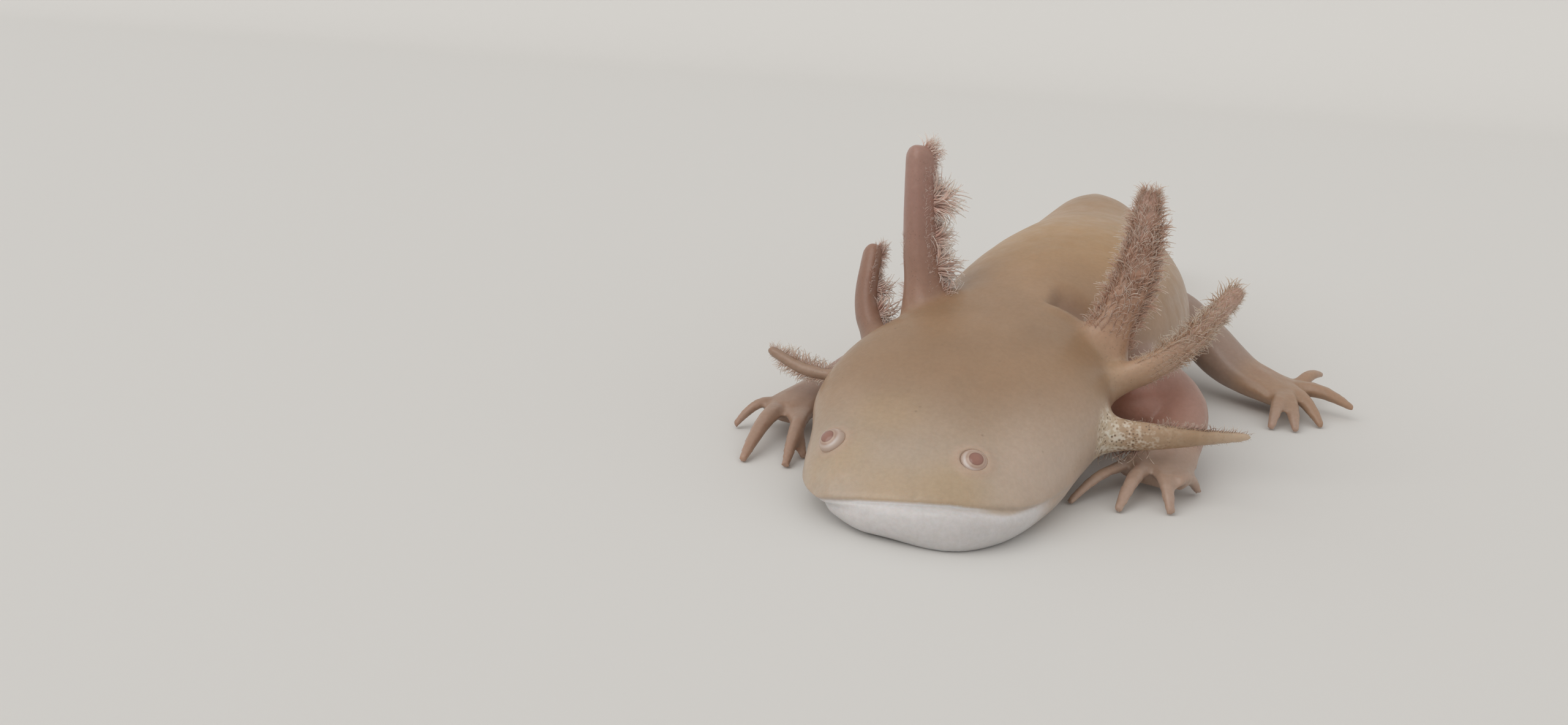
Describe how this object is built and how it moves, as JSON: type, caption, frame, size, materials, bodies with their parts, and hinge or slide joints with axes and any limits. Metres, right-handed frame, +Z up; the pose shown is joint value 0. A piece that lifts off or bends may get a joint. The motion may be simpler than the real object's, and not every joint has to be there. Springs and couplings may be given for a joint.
{
  "type": "axolotl",
  "caption": "Life-size adult axolotl resting on chin, belly, hands and feet, with feathery gills raised, legs spread and a finned tail behind.",
  "frame": {"origin": "centre of the object's box at floor level", "axes": "+Y back along the body from snout to tail, +X to the animal's own left, +Z up"},
  "size_m": [0.0986, 0.2322, 0.0494],
  "materials": {
    "skin": "wet, smooth tan skin",
    "pale_skin": "wet, smooth pale chin skin",
    "gill": "soft pink-brown gill",
    "fin": "thin, slightly clear fin",
    "eye": "glossy eye with a rose pupil"
  },
  "bodies": {
    "root": {"head": "skin", "lower_jaw": "pale_skin", "eye_left": "eye", "eye_right": "eye", "neck": "skin", "chest": "skin", "belly": "skin", "pelvis": "skin", "tail_base": "skin", "tail_middle": "skin", "tail_tip": "skin", "back_crest": "fin", "tail_fin_upper_front": "fin", "tail_fin_upper_rear": "fin", "tail_fin_lower_front": "fin", "tail_fin_lower_rear": "fin", "upper_arm_left": "skin", "forearm_left": "skin", "hand_left": "skin", "upper_arm_right": "skin", "forearm_right": "skin", "hand_right": "skin", "thigh_left": "skin", "shank_left": "skin", "foot_left": "skin", "thigh_right": "skin", "shank_right": "skin", "foot_right": "skin", "gill_upper_left": "gill", "gill_middle_left": "gill", "gill_lower_left": "gill", "gill_upper_right": "gill", "gill_middle_right": "gill", "gill_lower_right": "gill"}
  },
  "joints": []
}
